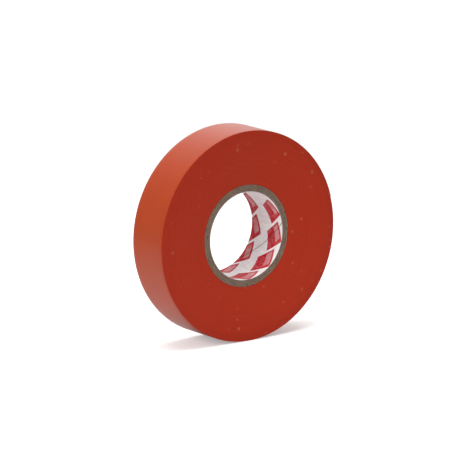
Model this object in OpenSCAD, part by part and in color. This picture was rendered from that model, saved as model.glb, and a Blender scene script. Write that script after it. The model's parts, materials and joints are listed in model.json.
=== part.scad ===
// Roll of electrical tape: one long strip of PVC film with an adhesive back, wound on a paper core.
// The roll stands on its rim. Its axis is Y, its front face looks along -Y, and +Z is up.
// The origin is on the axis, half way between the two faces.

/* [Tape] */
// Width of the strip, and so of the roll
tape_w = 19; // [12:0.5:50]
// Thickness of the strip, film and adhesive together
tape_t = 0.127; // [0.1:0.001:0.25]
// Thickness of the adhesive on the film's inner side
adhesive_t = 0.02; // [0.01:0.005:0.04]
// Length of strip on the roll, in metres
tape_len = 33; // [10:0.5:50]
// How far back the turns at the core sit, behind the turns at the rim
dish = 1.5; // [0:0.1:3]
// Width of the outermost turns that aren't dished
flat_rim = 2.5; // [2:0.1:3.5]

/* [Core] */
// Length of the core
core_w = 20; // [12:0.5:52]
// Diameter of the bore
bore_d = 35.2; // [25:0.1:76]
// Thickness of the printed paper liner
liner_t = 0.12; // [0.1:0.01:0.3]
// Thickness of one chipboard ply
ply_t = 0.84; // [0.5:0.01:1.5]
// Thickness of the glue between two layers of the core
glue_t = 0.02; // [0.02:0.005:0.05]
// Angle between the core's spiral seams and its axis
seam_slope = 44; // [20:1:60]
// Opening left at a seam, between the edges of the strip that the layer is wound from
seam_gap = 0.2; // [0.1:0.05:0.5]

/* [Free end] */
// Angle at which the strip leaves the roll, from +X towards +Z
peel_angle = 65; // [40:1:90]
// Length of one link of the free end
link_len = 6; // [3:0.5:8]
// Gap between two links, where the strip bends
link_gap = 0.15; // [0.12:0.01:0.2]

/* [Colours] */
// Colour of the tape
tape_colour = "#b74b2f"; // [#b74b2f:orange red, #1a1a1a:black, #1f4fa0:blue, #e8c21d:yellow]
// Colour of the chipboard
board_colour = "#786a5a"; // [#786a5a:grey brown, #a08a6a:tan]
// Colour of the liner
liner_colour = "#d6cfcd"; // [#d6cfcd:grey white, #f2efe8:cream]

/* [Hidden] */
$fn = 180;

links = 6;                                    // links in the free end
layers = 3;                                   // chipboard plies in the core
core_y = dish + (core_w - tape_w) / 2;        // middle of the core, whose front end meets the tape's
liner_r = bore_d / 2;                         // inner radius of the liner
ply_r = liner_r + liner_t + glue_t;           // inner radius of the innermost ply
core_r = ply_r + layers * ply_t + (layers - 1) * glue_t;
wound_area = tape_len * 1000 * tape_t;        // area of the strip's edge, seen from the side
roll_r = round(1000 * sqrt(core_r * core_r + wound_area / PI)) / 1000;
film_t = tape_t - adhesive_t;
climb = tape_t / 2;                           // how far the climbing half of a turn is off the axis
link_arc = link_len / roll_r * 180 / PI;      // angle that one link covers
gap_arc = link_gap / roll_r * 180 / PI;
end_angle = peel_angle - links * link_arc;    // where the strip is cut off
liner_seam = -21;                             // angle of the liner's seam half way along the core
ply_seam = 40;                                // angle of the inner ply's seam half way along the core
flat_r = roll_r - flat_rim;                   // where the dish begins
over = 1;                                     // how far a cutting shape runs past what it cuts
reach = 4 * roll_r;                           // a length that is sure to pass the rim

// A flat outline, drawn as the front of the roll shows it, given a width along the roll's axis
module across(width) {
    rotate([90, 0, 0])
        linear_extrude(height = width, center = true)
            children();
}

// The half of the plane above the line y = 0, or below it
module half_plane(above) {
    translate([-reach, above ? 0 : -reach])
        square([2 * reach, reach]);
}

// A slice of the plane between two angles
module sector(from, to) {
    polygon([[0, 0], reach * [cos(from), sin(from)], reach * [cos(to), sin(to)]]);
}

// Outline of the winding, turned so that the strip is cut off at angle 0. Half of the last turn is round
// about the axis. The other half climbs by one thickness of strip, which leaves a step at angle 0.
module winding() {
    intersection() {
        circle(roll_r);
        half_plane(false);
    }
    intersection() {
        translate([climb, 0]) circle(roll_r + climb);
        half_plane(true);
    }
}

// A thin blade that turns about the axis on its way from the back of the core to the front
module seam(inner_r, thickness, middle) {
    length = core_w + 2 * over;
    turn = length * tan(seam_slope) / liner_r * 180 / PI;
    rotate([90, 0, 0])
        rotate(middle - turn / 2)
            linear_extrude(height = length, center = true, twist = -turn, slices = 24, segments = 4)
                translate([inner_r - over, -seam_gap / 2])
                    square([thickness + 2 * over, seam_gap]);
}

// One layer of the core: a strip wound in a spiral with its edges side by side. Middle is the angle of
// its seam half way along.
module core_layer(inner_r, thickness, middle) {
    translate([0, core_y, 0])
        difference() {
            across(core_w)
                difference() {
                    circle(inner_r + thickness);
                    circle(inner_r);
                }
            seam(inner_r, thickness, middle);
        }
}

// A chipboard ply. The seams of the three plies are a third of a turn apart.
module ply(index) {
    color(board_colour)
        core_layer(ply_r + index * (ply_t + glue_t), ply_t, ply_seam + 120 * index);
}

// One link of the free end, counted from where the strip leaves the roll
module free_link(index) {
    from = (links - index) * link_arc - gap_arc / 2;
    to = (links - index - 1) * link_arc + gap_arc / 2;
    outer_r = roll_r + climb;
    color(tape_colour)
        across(tape_w)
            rotate(end_angle)
                translate([climb, 0])
                    intersection() {
                        difference() {
                            circle(outer_r);
                            circle(outer_r - film_t);
                        }
                        sector(from, to);
                    }
}

module core_liner() {
    color(liner_colour)
        core_layer(liner_r, liner_t, liner_seam);
}

module core_inner_ply() { ply(0); }

module core_middle_ply() { ply(1); }

module core_outer_ply() { ply(2); }

// The turns inside the flat rim. Each sits a little further back than the one outside it.
module dished_turns() {
    inner_r = core_r + glue_t;
    rotate([90, 0, 0])
        rotate_extrude()
            polygon([
                [inner_r, -tape_w / 2 - dish],
                [flat_r, -tape_w / 2],
                [flat_r, tape_w / 2],
                [inner_r, tape_w / 2 - dish]
            ]);
}

// The outermost turns, with a shallow pocket under the free end
module rim_turns() {
    across(tape_w)
        rotate(end_angle)
            difference() {
                winding();
                circle(flat_r);
                translate([climb, 0])
                    difference() {
                        sector(0, links * link_arc + gap_arc / 2);
                        circle(roll_r - climb);
                    }
            }
}

// All the turns of the strip up to where the free end leaves the roll
module wound_tape() {
    color(tape_colour) {
        dished_turns();
        rim_turns();
    }
}

module free_end_1() { free_link(0); }

module free_end_2() { free_link(1); }

module free_end_3() { free_link(2); }

module free_end_4() { free_link(3); }

module free_end_5() { free_link(4); }

module free_end_6() { free_link(5); }

core_liner();
core_inner_ply();
core_middle_ply();
core_outer_ply();
wound_tape();
free_end_1();
free_end_2();
free_end_3();
free_end_4();
free_end_5();
free_end_6();
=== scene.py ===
"""Looks for a roll of electrical tape: the wound strip, its free end, the spirally wound core and its liner.

Lengths are in metres. The roll's axis is Y, its front looks along -Y, and it stands on its rim with +Z up.
An angle round the axis is in radians, from +X towards +Z, as the front of the roll shows it.
"""

import json
import math

import bpy
import numpy as np
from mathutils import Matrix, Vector, noise


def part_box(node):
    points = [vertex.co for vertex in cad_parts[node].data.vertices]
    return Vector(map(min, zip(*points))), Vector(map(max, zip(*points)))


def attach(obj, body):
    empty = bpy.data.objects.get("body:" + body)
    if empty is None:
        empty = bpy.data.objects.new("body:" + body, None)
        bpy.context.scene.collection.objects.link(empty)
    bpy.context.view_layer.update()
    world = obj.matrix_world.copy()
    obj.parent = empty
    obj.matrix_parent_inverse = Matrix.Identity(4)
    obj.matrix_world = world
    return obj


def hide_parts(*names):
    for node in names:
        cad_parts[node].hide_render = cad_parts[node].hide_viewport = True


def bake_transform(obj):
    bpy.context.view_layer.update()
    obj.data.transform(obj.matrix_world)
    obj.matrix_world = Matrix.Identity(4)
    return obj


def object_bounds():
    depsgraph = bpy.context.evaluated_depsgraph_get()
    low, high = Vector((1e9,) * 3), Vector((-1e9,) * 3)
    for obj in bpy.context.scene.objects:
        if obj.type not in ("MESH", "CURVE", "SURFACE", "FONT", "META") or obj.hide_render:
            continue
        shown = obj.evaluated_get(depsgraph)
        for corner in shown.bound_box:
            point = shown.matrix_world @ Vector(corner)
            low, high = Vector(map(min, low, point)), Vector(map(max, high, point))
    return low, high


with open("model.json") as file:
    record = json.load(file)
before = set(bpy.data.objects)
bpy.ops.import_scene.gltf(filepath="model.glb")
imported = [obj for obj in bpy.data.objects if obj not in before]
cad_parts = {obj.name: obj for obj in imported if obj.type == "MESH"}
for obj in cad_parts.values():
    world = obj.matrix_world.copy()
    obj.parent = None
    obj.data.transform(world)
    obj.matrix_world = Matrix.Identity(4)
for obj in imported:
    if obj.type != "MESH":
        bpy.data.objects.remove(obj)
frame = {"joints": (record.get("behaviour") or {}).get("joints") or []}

cad_low, cad_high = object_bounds()

MM = 0.001
FULL_TURN = 2 * math.pi

# The winding, as the CAD part has it
STRIP_T = 0.127 * MM  # film and adhesive together
GLUE_T = 0.02 * MM  # glue under the innermost turn and between the layers of the core
CLIMB = STRIP_T / 2  # how far the last half turn is off the axis
HALF_W = -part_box("wound_tape")[0].y
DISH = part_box("wound_tape")[1].y - HALF_W  # how far back the innermost turns sit
ROLL_R = -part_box("wound_tape")[0].z
FLAT_RIM = 2.5 * MM  # width of the outermost turns that aren't dished
FLAT_R = ROLL_R - FLAT_RIM  # where the dish begins
WOUND_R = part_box("core_outer_ply")[1].z + GLUE_T  # inner radius of the innermost turn
TURNS = round((ROLL_R - WOUND_R) / STRIP_T)

# The free end
PEEL_ANGLE = math.radians(65)  # where the strip leaves the roll
LINK_L = 6 * MM  # length of one link
LINKS = len(frame["joints"])
LINK_ARC = LINK_L / ROLL_R  # angle that one link covers
CUT_ANGLE = PEEL_ANGLE - LINKS * LINK_ARC  # where the strip is cut off
ROOT_L = 2.5 * MM  # length of strip before the first hinge that is part of the first piece
ROOT_ARC = LINKS * LINK_ARC + ROOT_L / ROLL_R  # from the cut end to where the first piece begins
STEP_ARC = 0.03 * MM / ROLL_R  # covered by the step in the winding where the first piece begins
STRIP_STEP = 0.25 * MM  # length of a facet of the strip
TOUCH_GAP = 0.004 * MM  # left under the free end

# The turns' edges
GROOVE = 0.012 * MM  # depth of the groove between two turns
WANDER = 0.05 * MM  # how far a turn may lie out of line
WANDER_TURNS = 7  # turns over which that changes
CLEAN_TURNS = 8  # outermost turns, over which it dies away
CORE_CREASE = 0.1 * MM  # depth of the crease between the innermost turn and the core
RIM_ROUND = 0.14 * MM  # radius of the outermost turn's edges
RIM_STEPS = 4  # facets round such an edge
ACROSS = 10  # facets across the strip
UNDER_COLUMNS = 20  # columns of the winding under the free end
GROWING_COLUMNS = (0, 1, 3, 6, 11)  # places of the first columns after the step, in facets of the strip
REST_COLUMNS = 108  # columns of the rest of the winding
SHARP = math.radians(35)  # angle from which an edge between two facets is sharp

# The core
CORE_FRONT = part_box("core_liner")[0].y
CORE_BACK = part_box("core_liner")[1].y
LINER_R = 17.6 * MM
LINER_T = 0.12 * MM
PLY_T = 0.84 * MM
PLY_GAP = 0.2 * MM  # opening at a ply's seam
LINER_GAP = 0.4 * MM  # opening at the liner's seam
SEAM_SLOPE = math.radians(44)  # angle between a seam and the axis
LINER_SEAM = math.radians(-21)  # angle of the liner's seam half way along the core
PLY_SEAM = math.radians(40)  # angle of the inner ply's seam half way along the core
PLY_GRID = (360, 10, 6)  # facets round a ply, along it and across its end
LINER_GRID = (240, 24, 2)  # the same for the liner
BOARD_PITS = 0.16 * MM  # depth of the pits in the board's ends
BOARD_WAVE = 0.04 * MM  # how uneven the ends are
BOARD_ROUND = 0.13 * MM  # how far the corners are worn back
COCKLE = 0.015 * MM  # height of the liner's waves
LIFT = 0.06 * MM  # how far one edge of the liner stands up at its seam
LIFT_W = 1.5 * MM  # width of the part that stands up
COCKLE_L = 5 * MM  # length of a wave along the axis

# The print on the liner, in metres on the unrolled paper
BLOCK_SIDES = ((7.6 * MM, 2.9 * MM), (-5.5 * MM, 7 * MM))  # two sides of a block: round the core, along it
BLOCKS = 10  # blocks in a row
BLOCK_PITCH = FULL_TURN * LINER_R / BLOCKS
BLOCK_START = -15.7 * MM  # where the first block of the front row begins
ROW_PITCH = 13.7 * MM
ROW_SHIFT = 0.8 * MM  # how far round the core a row is from the row in front of it
BLANK_BLOCK = 3  # a block of the front row that is left out
BAND_LENGTH = (0.2, 0.9)  # where the band of thin ink lies, as shares of a block's sides
BAND_WIDTH = (0.12, 0.45)

# Sockets of a colour Mix node
MIX_SHARE, MIX_FIRST, MIX_SECOND, MIX_RESULT = 0, 6, 7, 2


def shade(red, green, blue):
    """A screen colour, 0 to 255, as the linear colour a shader takes."""
    parts = [c / 255 for c in (red, green, blue)]
    linear = [c / 12.92 if c < 0.04 else ((c + 0.055) / 1.055) ** 2.4 for c in parts]
    return (*linear, 1)


# Colours
FILM_DARK = shade(163, 55, 10)
FILM_LIGHT = shade(168, 59, 16)
FILM_LINE = shade(156, 50, 8)
FILM_EDGE = shade(164, 42, 12)
FILM_EDGE_W = 0.5 * MM  # width over which the film darkens towards its edges
EDGE_DARK = shade(169, 43, 17)
EDGE_LIGHT = shade(176, 47, 21)
EDGE_CLOUD = shade(173, 41, 15)
# Painted shade: the turns' edges are darker towards the rim
EDGE_RIM_SHADE = shade(165, 43, 19)
EDGE_RIM_SHADE_R = (0.91 * ROLL_R, 0.95 * ROLL_R)  # radii between which the turns' edges take the painted shade that darkens them towards the rim
FLECK = shade(205, 130, 95)
FLECK_CELL = 4.5 * MM  # there is at most one fleck to a square of this side
ADHESIVE_DARK = shade(120, 44, 30)
ADHESIVE_LIGHT = shade(150, 62, 44)
BOARD_DARK = shade(107, 90, 76)
BOARD_LIGHT = shade(150, 131, 114)
BOARD_MOTTLE = shade(122, 104, 90)
BOARD_SPECK = shade(62, 50, 40)
BOARD_JOINT = shade(78, 66, 56)
PAPER_DARK = shade(228, 226, 225)
PAPER_LIGHT = shade(246, 244, 244)
INK_DARK = shade(174, 4, 22)
INK_LIGHT = shade(196, 22, 44)

# The studio
FLOOR_R = 3.0
FLOOR_SIDES = 96
FLOOR_FADE = (0.1, 0.4)  # distances from the roll between which the floor fades out
FLOOR_LIGHT = shade(244, 244, 244)
FLOOR_PALE = shade(240, 240, 240)
# Painted glow of the floor, which only the camera sees and which lightens the shadow
FLOOR_GLOW = 0.3
FLOOR_GREY = shade(212, 212, 212)  # the floor's colour as the roll sees it
BACKDROP_SIDE = (150, 28)  # azimuth and elevation of the middle of the backdrop
BACKDROP_FOCUS = 4.0  # how narrow its light is
BACKDROP_LIGHT = 1.0
EVEN_LIGHT = 0.35  # light from all round
# Name, azimuth, elevation, distance, size and power
SOFTBOXES = [
    ("top_softbox", 0, 88, 1.1, 1.0, 11.0),
    ("fill_softbox", 0, 15, 1.5, 1.0, 2.5),
    ("key_softbox", -75, 24, 1.3, 0.8, 9.5),
]
CAMERA_SIDE = (-36.5, 12.3)  # azimuth and elevation
CAMERA_DISTANCE = 1.504
CAMERA_LENS = 297.2  # in millimetres
AIM_DROP = 0.3 * MM  # how far below the middle of the roll the camera looks


# ---- meshes ----

def make_piece(name, points, faces, materials, face_materials=None):
    """A mesh object. It keeps its rest position in an attribute, which the materials read."""
    mesh = bpy.data.meshes.new(name)
    mesh.from_pydata(points.tolist(), [], faces)
    rest = mesh.attributes.new("rest", "FLOAT_VECTOR", "POINT")
    rest.data.foreach_set("vector", points.astype(np.float32).ravel())
    for material in materials:
        mesh.materials.append(material)
    if face_materials is not None:
        mesh.polygons.foreach_set("material_index", face_materials)
    mesh.shade_smooth()
    mesh.set_sharp_from_angle(angle=SHARP)
    mesh.update()
    piece = bpy.data.objects.new(name, mesh)
    bpy.context.scene.collection.objects.link(piece)
    return piece


def loop_faces(sections, loop, closed):
    """Quads between neighbouring sections, each a loop of points. An open row of sections gets end caps."""
    faces = []
    for i in range(sections if closed else sections - 1):
        here, there = i * loop, (i + 1) % sections * loop
        for j in range(loop):
            k = (j + 1) % loop
            faces.append((here + j, here + k, there + k, there + j))
    if not closed:
        faces.append(tuple(reversed(range(loop))))
        faces.append(tuple((sections - 1) * loop + j for j in range(loop)))
    return faces


def on_roll(radius, angle, y):
    """A point from its distance from the axis, its angle round it and its place along it."""
    return (radius * math.cos(angle), y, radius * math.sin(angle))


def outline(angle):
    """Distance from the axis to the surface of the winding. The angle is measured from the cut end."""
    if angle >= math.pi:
        return ROLL_R
    radius = ROLL_R - CLIMB if angle <= ROOT_ARC else ROLL_R + CLIMB
    return CLIMB * math.cos(angle) + math.sqrt(radius ** 2 - (CLIMB * math.sin(angle)) ** 2)


def dish_at(radius):
    """How far back the turns at this radius sit, behind those at the rim."""
    return DISH * max(0, (FLAT_R - radius) / (FLAT_R - WOUND_R))


def side_rows(angle):
    """Radius and depth of each groove and crest of the turns' edges, from the core out."""
    rows = []
    surface = outline(angle)
    for turn in range(TURNS):
        wander = WANDER * noise.noise(Vector((turn / WANDER_TURNS, math.cos(angle), math.sin(angle))))
        wander *= min(1, (TURNS - 1 - turn) / CLEAN_TURNS)
        sunk = CORE_CREASE if turn == 0 else 0
        for step, depth in ((0, GROOVE + sunk), (0.5, 0)):
            radius = WOUND_R + (turn + step) * (ROLL_R - WOUND_R) / TURNS
            # The two outermost turns follow the surface, which climbs and has the step
            if turn >= TURNS - 2:
                radius += surface - ROLL_R
            rows.append((radius, depth, wander))
    return rows


def wound_section(angle):
    """The closed loop of the winding's cross-section: front face, rim, back face."""
    rows = side_rows(angle)
    turned = angle + CUT_ANGLE
    surface = outline(angle)
    front = [on_roll(r, turned, dish_at(r) + wander + depth - HALF_W) for r, depth, wander in rows]
    back = [on_roll(r, turned, dish_at(r) + wander - depth + HALF_W) for r, depth, wander in reversed(rows)]
    rim = []
    for side, steps in ((-1, range(RIM_STEPS + 1)), (1, reversed(range(RIM_STEPS + 1)))):
        for step in steps:
            bend = math.pi / 2 * step / RIM_STEPS
            inset = RIM_ROUND * (1 - math.cos(bend))
            drop = RIM_ROUND * (1 - math.sin(bend))
            rim.append(on_roll(surface - drop, turned, side * (HALF_W - inset)))
        if side < 0:
            for step in range(1, ACROSS):
                y = (HALF_W - RIM_ROUND) * (2 * step / ACROSS - 1)
                rim.append(on_roll(surface, turned, y))
    return front + rim + back


def make_wound_tape(film, edges):
    """All the turns up to the free end, with the edge of every turn on both faces."""
    under = np.linspace(0, ROOT_ARC, UNDER_COLUMNS)
    growing = [ROOT_ARC + STEP_ARC + k * STRIP_STEP / ROLL_R for k in GROWING_COLUMNS]
    rest = np.linspace(growing[-1], FULL_TURN, REST_COLUMNS, endpoint=False)
    sections = [wound_section(a) for a in (*under, *growing[:-1], *rest)]
    loop = len(sections[0])
    faces = loop_faces(len(sections), loop, closed=True)
    first_film = 2 * TURNS  # of the facets in a column, which run from the core to the rim and back
    after_film = first_film + 2 * RIM_STEPS + ACROSS
    is_edge = [not first_film <= f % loop < after_film for f in range(len(faces))]
    points = np.array(sections).reshape(-1, 3)
    piece = make_piece("wound_tape_turns", points, faces, [film, edges], is_edge)
    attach(piece, "roll")
    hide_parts("wound_tape")


def on_strip(angle, depth, y):
    """A point of the last turn, at a depth under its outer surface. The angle is from the cut end."""
    radius = ROLL_R + CLIMB - depth
    x, z = CLIMB + radius * math.cos(angle), radius * math.sin(angle)
    c, s = math.cos(CUT_ANGLE), math.sin(CUT_ANGLE)
    return (x * c - z * s, y, x * s + z * c)


def from_climb(angle):
    """An angle about the roll's axis, as an angle about the middle of the climbing half turn."""
    return angle + math.asin(CLIMB * math.sin(angle) / (ROLL_R + CLIMB))


def make_strip(index, film, adhesive):
    """The part of the free end that bends about one hinge, from the middle of a link to the next."""
    hinge = (LINKS - index) * LINK_ARC
    start = from_climb(ROOT_ARC + STEP_ARC) if index == 0 else hinge + LINK_ARC / 2
    end = 0 if index == LINKS - 1 else hinge - LINK_ARC / 2
    steps = round((start - end) * ROLL_R / STRIP_STEP)
    across = [HALF_W * (2 * i / ACROSS - 1) for i in range(ACROSS + 1)]
    sections = []
    for angle in np.linspace(end, start, steps + 1):
        outside = [on_strip(angle, 0, y) for y in across]
        inside = [on_strip(angle, STRIP_T - TOUCH_GAP, y) for y in reversed(across)]
        sections.append(outside + inside)
    loop = len(sections[0])
    faces = loop_faces(len(sections), loop, closed=False)
    # A loop has the film, a cut edge, the adhesive and the other cut edge. The end caps come last
    is_inside = [ACROSS < f % loop < loop - 1 and f < loop * steps for f in range(len(faces))]
    points = np.array(sections).reshape(-1, 3)
    piece = make_piece(f"strip_{index + 1}", points, faces, [film, adhesive], is_inside)
    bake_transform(piece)
    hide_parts(f"free_end_{index + 1}")


# ---- core ----

def seam_angle(middle, y):
    """Angle of a layer's seam at y. Middle is its angle half way along the core."""
    return middle - (y - (CORE_FRONT + CORE_BACK) / 2) * math.tan(SEAM_SLOPE) / LINER_R


def layer_loop(inner_r, outer_r, rows, end_rows):
    """Radius and y of each point round a layer's cross-section."""
    along = np.linspace(CORE_FRONT, CORE_BACK, rows + 1)
    between = np.linspace(inner_r, outer_r, end_rows + 1)[1:-1]
    loop = [(outer_r, y) for y in along]
    loop += [(r, CORE_BACK) for r in reversed(between)]
    loop += [(inner_r, y) for y in reversed(along)]
    loop += [(r, CORE_FRONT) for r in between]
    return loop


def make_layer(name, node, thickness, middle, gap_w, shape, grid, material):
    """A strip wound in a spiral with its edges side by side. Shape moves a point of it: it gets the angle,
    the radius, y, how far round the strip the point is and whether it lies on the inner or outer side, and
    gives the new radius and y."""
    columns, rows, end_rows = grid
    outer_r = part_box(node)[1].z
    inner_r = outer_r - thickness
    loop = layer_loop(inner_r, outer_r, rows, end_rows)
    gap = gap_w / LINER_R
    points, unrolled = [], []
    for share in np.linspace(0, 1, columns + 1):
        for radius, y in loop:
            angle = seam_angle(middle, y) + gap / 2 + share * (FULL_TURN - gap)
            unrolled.append((angle * inner_r, y, radius))
            on_side = radius in (inner_r, outer_r)
            radius, y = shape(angle, radius, y, share, on_side)
            points.append(on_roll(radius, angle, y))
    faces = loop_faces(columns + 1, len(loop), closed=False)
    piece = make_piece(name, np.array(points), faces, [material])
    flat = piece.data.attributes.new("unrolled", "FLOAT_VECTOR", "POINT")
    flat.data.foreach_set("vector", np.array(unrolled, np.float32).ravel())
    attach(piece, "roll")
    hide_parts(node)
    return piece


def rough_board(angle, radius, y, share, on_side):
    """Chipboard: its ends are pitted and uneven, and their corners are worn."""
    if y not in (CORE_FRONT, CORE_BACK):
        return radius, y
    place = Vector((angle * LINER_R, 3 * radius, y)) / MM
    pits = max(0, noise.noise(place * 1.1) + 0.5 * noise.noise(place * 3))
    depth = BOARD_PITS * pits + BOARD_WAVE * (1 + noise.noise(place * 0.12))
    if on_side:
        depth += BOARD_ROUND
    return radius, y + (depth if y == CORE_FRONT else -depth)


def cockled_paper(angle, radius, y, share, on_side):
    """Thin paper, slightly cockled, with one edge standing up at the seam."""
    wave = noise.noise(Vector((2 * math.cos(angle), y / COCKLE_L, 2 * math.sin(angle))))
    lift = LIFT * max(0, 1 - share * FULL_TURN * LINER_R / LIFT_W)
    return radius - COCKLE * (1 + wave) - lift, y


# ---- materials ----

class Surface:
    """The node tree of a material or a world, built one node a call."""

    def __init__(self, owner):
        self.owner = owner
        owner.use_nodes = True
        self.tree = owner.node_tree
        self.tree.nodes.clear()
        self.rest = self.attribute("rest")

    def add(self, kind, inputs, output=0, **settings):
        """Adds a node. An input is a value, or an output of another node."""
        node = self.tree.nodes.new(kind)
        for setting, value in settings.items():
            setattr(node, setting, value)
        for key, value in inputs.items():
            if isinstance(value, bpy.types.NodeSocket):
                self.tree.links.new(value, node.inputs[key])
            else:
                node.inputs[key].default_value = value
        return node.outputs[output]

    def attribute(self, name):
        return self.add("ShaderNodeAttribute", {}, "Vector", attribute_name=name)

    def math(self, operation, *values):
        return self.add("ShaderNodeMath", dict(enumerate(values)), operation=operation)

    def vector(self, operation, *values, output=0, **others):
        inputs = dict(enumerate(values)) | others
        return self.add("ShaderNodeVectorMath", inputs, output, operation=operation)

    def split(self, vector):
        """The three parts of a vector."""
        first = self.add("ShaderNodeSeparateXYZ", {0: vector})
        return first.node.outputs[0], first.node.outputs[1], first.node.outputs[2]

    def join(self, x, y, z):
        return self.add("ShaderNodeCombineXYZ", {0: x, 1: y, 2: z})

    def weigh(self, first, first_weight, second, second_weight):
        """The sum of two values, each times a number."""
        return self.math("MULTIPLY_ADD", first, first_weight, self.math("MULTIPLY", second, second_weight))

    def noise(self, vector, scale, detail=2.0):
        """Noise from 0 to 1. Scale is in repeats per metre."""
        return self.add("ShaderNodeTexNoise", {"Vector": vector, "Scale": scale, "Detail": detail})

    def ramp(self, value, low, high, to_low=0.0, to_high=1.0):
        """A value taken from one range to another, and held at the ends."""
        inputs = {"Value": value, 1: low, 2: high, 3: to_low, 4: to_high}
        return self.add("ShaderNodeMapRange", inputs)

    def mix(self, share, first, second):
        """A colour between two others."""
        inputs = {MIX_SHARE: share, MIX_FIRST: first, MIX_SECOND: second}
        return self.add("ShaderNodeMix", inputs, MIX_RESULT, data_type="RGBA")

    def bump(self, height, distance, strength=1.0):
        return self.add("ShaderNodeBump", {"Height": height, "Distance": distance, "Strength": strength})

    def finish(self, colour, roughness, normal, specular):
        """Joins it all in one shader."""
        inputs = {"Base Color": colour, "Roughness": roughness, "Normal": normal}
        inputs["Specular IOR Level"] = specular
        shader = self.add("ShaderNodeBsdfPrincipled", inputs)
        return self.add_output(shader)

    def add_output(self, shader, kind="ShaderNodeOutputMaterial"):
        """Ends the tree, and gives the material or the world."""
        output = self.tree.nodes.new(kind)
        self.tree.links.new(shader, output.inputs["Surface"])
        return self.owner


def new_material(name):
    return Surface(bpy.data.materials.new(name))


def round_axis(s):
    """The distance from the axis, and the direction from it as a vector of length 1."""
    flat = s.vector("MULTIPLY", s.rest, (1, 0, 1))
    return s.vector("LENGTH", flat, output="Value"), s.vector("NORMALIZE", flat)


def film():
    """Outer side of the PVC: satin, with faint lines along the strip and a fine grain."""
    s = new_material("pvc_film")
    lines = s.noise(s.vector("MULTIPLY", s.rest, (12, 700, 12)), 1)
    cloud = s.noise(s.rest, 60, 3)
    grain = s.noise(s.rest, 2600)
    colour = s.mix(s.ramp(cloud, 0.3, 0.7), FILM_DARK, FILM_LIGHT)
    colour = s.mix(s.ramp(lines, 0.3, 0.7, 0, 0.12), colour, FILM_LINE)
    from_edge = s.math("SUBTRACT", HALF_W, s.math("ABSOLUTE", s.split(s.rest)[1]))
    colour = s.mix(s.ramp(from_edge, 0, FILM_EDGE_W, 0.7, 0), colour, FILM_EDGE)
    roughness = s.ramp(cloud, 0.3, 0.7, 0.285, 0.315)
    height = s.math("MULTIPLY_ADD", lines, 0.3, grain)
    return s.finish(colour, roughness, s.bump(height, 0.004 * MM), 0.33)


def film_edges():
    """The edges of the turns: each turn a little lighter or darker, with flecks of dust and adhesive, and
    painted shade that darkens them towards the rim.
    """
    s = new_material("pvc_edges")
    radius, direction = round_axis(s)
    turn = s.join(0, s.math("DIVIDE", radius, STRIP_T), 0)
    rings = s.noise(s.vector("ADD", turn, s.vector("SCALE", direction)), 0.7, 3)
    cloud = s.noise(s.rest, 45, 3)
    colour = s.mix(s.ramp(rings, 0.3, 0.7), EDGE_DARK, EDGE_LIGHT)
    colour = s.mix(s.ramp(cloud, 0.35, 0.65, 0, 0.5), colour, EDGE_CLOUD)
    # Painted shade: the edges darken towards the rim
    colour = s.mix(s.ramp(radius, *EDGE_RIM_SHADE_R, 0, 0.5), colour, EDGE_RIM_SHADE)
    colour = s.mix(flecks(s), colour, FLECK)
    height = s.math("ADD", rings, s.noise(s.rest, 1800))
    return s.finish(colour, s.ramp(cloud, 0.3, 0.7, 0.5, 0.62), s.bump(height, 0.006 * MM), 0.16)


def flecks(s):
    """Share of a fleck's colour: small pale specks, at a few places only."""
    x, _, z = s.split(s.rest)
    inputs = {"Vector": s.join(x, z, 0), "Scale": 1 / FLECK_CELL}
    distance = s.add("ShaderNodeTexVoronoi", inputs, voronoi_dimensions="2D")
    pick, strength, size = s.split(distance.node.outputs["Color"])
    ragged = s.math("MULTIPLY_ADD", s.noise(s.rest, 2000), 0.3, distance)
    near = s.ramp(ragged, 0.12, s.ramp(size, 0, 1, 0.2, 0.38), 1, 0)
    chosen = s.ramp(pick, 0.8, 0.82)
    return s.math("MULTIPLY", s.math("MULTIPLY", near, chosen), s.ramp(strength, 0, 1, 0.1, 0.5))


def adhesive():
    """Inner side of the strip: rubber adhesive, glossier than the film."""
    s = new_material("adhesive")
    blotch = s.noise(s.rest, 400, 4)
    colour = s.mix(blotch, ADHESIVE_DARK, ADHESIVE_LIGHT)
    return s.finish(colour, s.ramp(blotch, 0.3, 0.7, 0.16, 0.26), s.bump(blotch, 0.01 * MM), 0.6)


def chipboard():
    """Grey-brown board: fibres that lie round the core, with darker and lighter specks."""
    s = new_material("chipboard")
    radius, direction = round_axis(s)
    across = s.join(0, s.math("MULTIPLY", radius, 3200), s.math("MULTIPLY", s.split(s.rest)[1], 900))
    fibres = s.noise(s.vector("ADD", across, s.vector("SCALE", direction, Scale=7)), 1, 4)
    mottle = s.noise(s.rest, 420, 4)
    specks = s.noise(s.rest, 1100, 1)
    colour = s.mix(s.ramp(fibres, 0.3, 0.7), BOARD_DARK, BOARD_LIGHT)
    colour = s.mix(s.ramp(mottle, 0.3, 0.7, 0, 0.6), colour, BOARD_MOTTLE)
    colour = s.mix(s.ramp(specks, 0.62, 0.7, 0, 0.6), colour, BOARD_SPECK)
    into_board = s.math("SUBTRACT", radius, LINER_R + LINER_T)
    ply = s.math("FRACT", s.math("DIVIDE", into_board, PLY_T + GLUE_T))
    from_middle = s.math("ABSOLUTE", s.math("SUBTRACT", ply, 0.5))
    colour = s.mix(s.ramp(from_middle, 0.36, 0.48, 0, 0.55), colour, BOARD_JOINT)
    height = s.math("ADD", fibres, mottle)
    return s.finish(colour, 0.9, s.bump(height, 0.05 * MM), 0.15)


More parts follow.
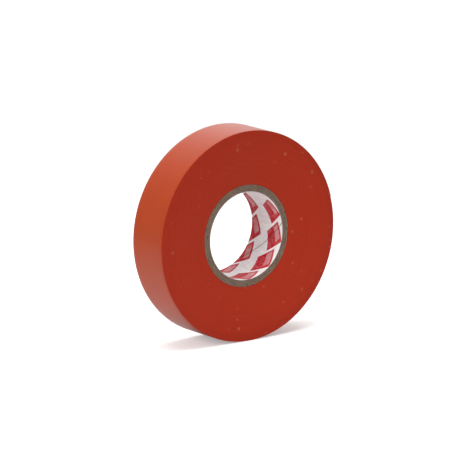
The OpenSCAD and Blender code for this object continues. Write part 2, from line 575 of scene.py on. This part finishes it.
def in_block(s, along, across):
    """Share of ink at a place measured from a block's corner. A block is a plain slanted parallelogram, with
    a band of thin ink along one side."""
    (a, b), (c, d) = BLOCK_SIDES
    area = a * d - b * c
    first = s.weigh(along, d / area, across, -c / area)
    second = s.weigh(across, a / area, along, -b / area)
    block = s.math("MULTIPLY", within(s, first, 0, 1), within(s, second, 0, 1))
    band = s.math("MULTIPLY", within(s, first, *BAND_LENGTH), within(s, second, *BAND_WIDTH))
    thin = s.math("MULTIPLY", band, s.ramp(s.noise(s.rest, 300), 0.35, 0.65, 0.18, 0.34))
    return s.math("MULTIPLY", block, s.math("SUBTRACT", 1, thin))


def within(s, share, low, high):
    """1 between two limits and 0 outside them, with soft edges."""
    from_middle = s.math("ABSOLUTE", s.math("SUBTRACT", share, (low + high) / 2))
    half = (high - low) / 2
    return s.ramp(from_middle, half - 0.01, half + 0.005, 1, 0)


def printed_paper():
    """White coated paper with rows of plain red blocks, in ink that thins out in places."""
    s = new_material("printed_paper")
    along, across, _ = s.split(s.attribute("unrolled"))
    row = s.math("DIVIDE", s.math("SUBTRACT", across, CORE_FRONT), ROW_PITCH)
    column = s.math("DIVIDE", s.math("SUBTRACT", along, BLOCK_START), BLOCK_PITCH)
    column = s.math("SUBTRACT", column, s.math("MULTIPLY", row, ROW_SHIFT / BLOCK_PITCH))
    down = s.math("MULTIPLY", s.math("FRACT", row), ROW_PITCH)
    round_core = s.math("MULTIPLY", s.math("FRACT", column), BLOCK_PITCH)
    # A block reaches into the cell before its own, so each cell holds parts of two blocks
    inks = []
    for ahead in (0, 1):
        number = s.math("ADD", s.math("FLOOR", column), ahead)
        is_blank = s.math("COMPARE", number, BLANK_BLOCK, 0.5)
        blank = s.math("MULTIPLY", s.math("LESS_THAN", row, 1), is_blank)
        ink = in_block(s, s.math("SUBTRACT", round_core, ahead * BLOCK_PITCH), down)
        inks.append(s.math("MULTIPLY", ink, s.math("SUBTRACT", 1, blank)))
    ink = s.math("MAXIMUM", *inks)
    worn = s.noise(s.rest, 900, 4)
    ink = s.math("MULTIPLY", ink, s.ramp(worn, 0.35, 0.6, 0.88, 1))
    fibre = s.noise(s.vector("MULTIPLY", s.rest, (1, 0.4, 1)), 700, 4)
    paper = s.mix(s.ramp(fibre, 0.3, 0.7), PAPER_DARK, PAPER_LIGHT)
    colour = s.mix(ink, paper, s.mix(worn, INK_DARK, INK_LIGHT))
    from_end = s.math("SUBTRACT", across, CORE_FRONT)
    colour = s.mix(s.ramp(from_end, 0.02 * MM, 0.12 * MM, 1, 0), colour, BOARD_MOTTLE)
    roughness = s.ramp(ink, 0, 1, 0.55, 0.45)
    return s.finish(colour, roughness, s.bump(fibre, 0.01 * MM), s.ramp(ink, 0, 1, 0.2, 0.05))


def floor_material():
    """A pale table with a painted glow, seen by the camera only, which softens the shadow. It fades out far
    from the roll.
    """
    s = new_material("studio_floor")
    place = s.add("ShaderNodeTexCoord", {}, "Object")
    seen = s.add("ShaderNodeLightPath", {}, "Is Camera Ray")
    tone = s.mix(s.noise(place, 6), FLOOR_LIGHT, FLOOR_PALE)
    board = s.add("ShaderNodeBsdfDiffuse", {"Color": s.mix(seen, FLOOR_GREY, tone)})
    # Painted glow, seen by camera rays only: it lightens the floor and its shadow and lights nothing
    glow = s.add("ShaderNodeEmission", {"Strength": s.math("MULTIPLY", seen, FLOOR_GLOW)})
    lit = s.add("ShaderNodeAddShader", {0: board, 1: glow})
    clear = s.add("ShaderNodeBsdfTransparent", {})
    fade = s.ramp(s.vector("LENGTH", place, output="Value"), *FLOOR_FADE)
    return s.add_output(s.add("ShaderNodeMixShader", {0: fade, 1: lit, 2: clear}))


# ---- studio ----

def make_floor():
    """A level floor that the rim stands on."""
    angles = [FULL_TURN * i / FLOOR_SIDES for i in range(FLOOR_SIDES)]
    points = [(FLOOR_R * math.cos(a), FLOOR_R * math.sin(a), 0) for a in angles]
    mesh = bpy.data.meshes.new("floor")
    mesh.from_pydata(points, [], [tuple(range(FLOOR_SIDES))])
    mesh.materials.append(floor_material())
    floor = bpy.data.objects.new("floor", mesh)
    floor.location.z = cad_low.z
    bpy.context.scene.collection.objects.link(floor)


def make_light(name, azimuth, elevation, distance, size, power):
    """A square softbox aimed at the roll. Azimuth 0 is in front, and 90 is on the side of +X."""
    lamp = bpy.data.lights.new(name, "AREA")
    lamp.size = size
    lamp.energy = power
    light = bpy.data.objects.new(name, lamp)
    towards = direction_to(azimuth, elevation)
    light.location = distance * towards
    light.rotation_euler = towards.to_track_quat("Z", "Y").to_euler()
    bpy.context.scene.collection.objects.link(light)


def direction_to(azimuth, elevation):
    """Unit vector from the roll towards a place in the studio. The angles are in degrees."""
    a, e = math.radians(azimuth), math.radians(elevation)
    return Vector((math.sin(a) * math.cos(e), -math.cos(a) * math.cos(e), math.sin(e)))


def make_world():
    """White where the camera sees it. As a light it is dim all round, and bright behind and to the right."""
    world = bpy.data.worlds.new("studio")
    s = Surface(world)
    towards = s.add("ShaderNodeTexCoord", {}, "Generated")
    facing = s.vector("DOT_PRODUCT", towards, direction_to(*BACKDROP_SIDE), output="Value")
    lobe = s.math("POWER", s.math("MAXIMUM", facing, 0), BACKDROP_FOCUS)
    light = s.math("MULTIPLY_ADD", lobe, BACKDROP_LIGHT, EVEN_LIGHT)
    seen = s.add("ShaderNodeLightPath", {}, "Is Camera Ray")
    strength = s.ramp(seen, 0, 1, light, 1)
    sky = s.add("ShaderNodeBackground", {"Color": (1, 1, 1, 1), "Strength": strength})
    s.add_output(sky, "ShaderNodeOutputWorld")
    bpy.context.scene.world = world


def make_camera():
    """The camera looks at the middle of the roll, from the front and a little above."""
    data = bpy.data.cameras.new("camera")
    data.lens = CAMERA_LENS
    camera = bpy.data.objects.new("camera", data)
    towards = direction_to(*CAMERA_SIDE)
    aim = (cad_low + cad_high) / 2 - Vector((0, 0, AIM_DROP))
    camera.location = aim + CAMERA_DISTANCE * towards
    camera.rotation_euler = towards.to_track_quat("Z", "Y").to_euler()
    bpy.context.scene.collection.objects.link(camera)
    bpy.context.scene.camera = camera


# ---- the scene ----

outer_side = film()
make_wound_tape(outer_side, film_edges())
inner_side = adhesive()
for index in range(LINKS):
    make_strip(index, outer_side, inner_side)
board = chipboard()
for index, ply in enumerate(("inner", "middle", "outer")):
    seam = PLY_SEAM + index * FULL_TURN / 3
    layer = make_layer(
        f"{ply}_ply_board", f"core_{ply}_ply", PLY_T, seam, PLY_GAP, rough_board, PLY_GRID, board
    )
paper = printed_paper()
liner = make_layer(
    "liner_paper", "core_liner", LINER_T, LINER_SEAM, LINER_GAP, cockled_paper, LINER_GRID, paper
)

make_floor()
make_world()
for softbox in SOFTBOXES:
    make_light(*softbox)
make_camera()
bpy.context.scene.view_settings.view_transform = "Standard"
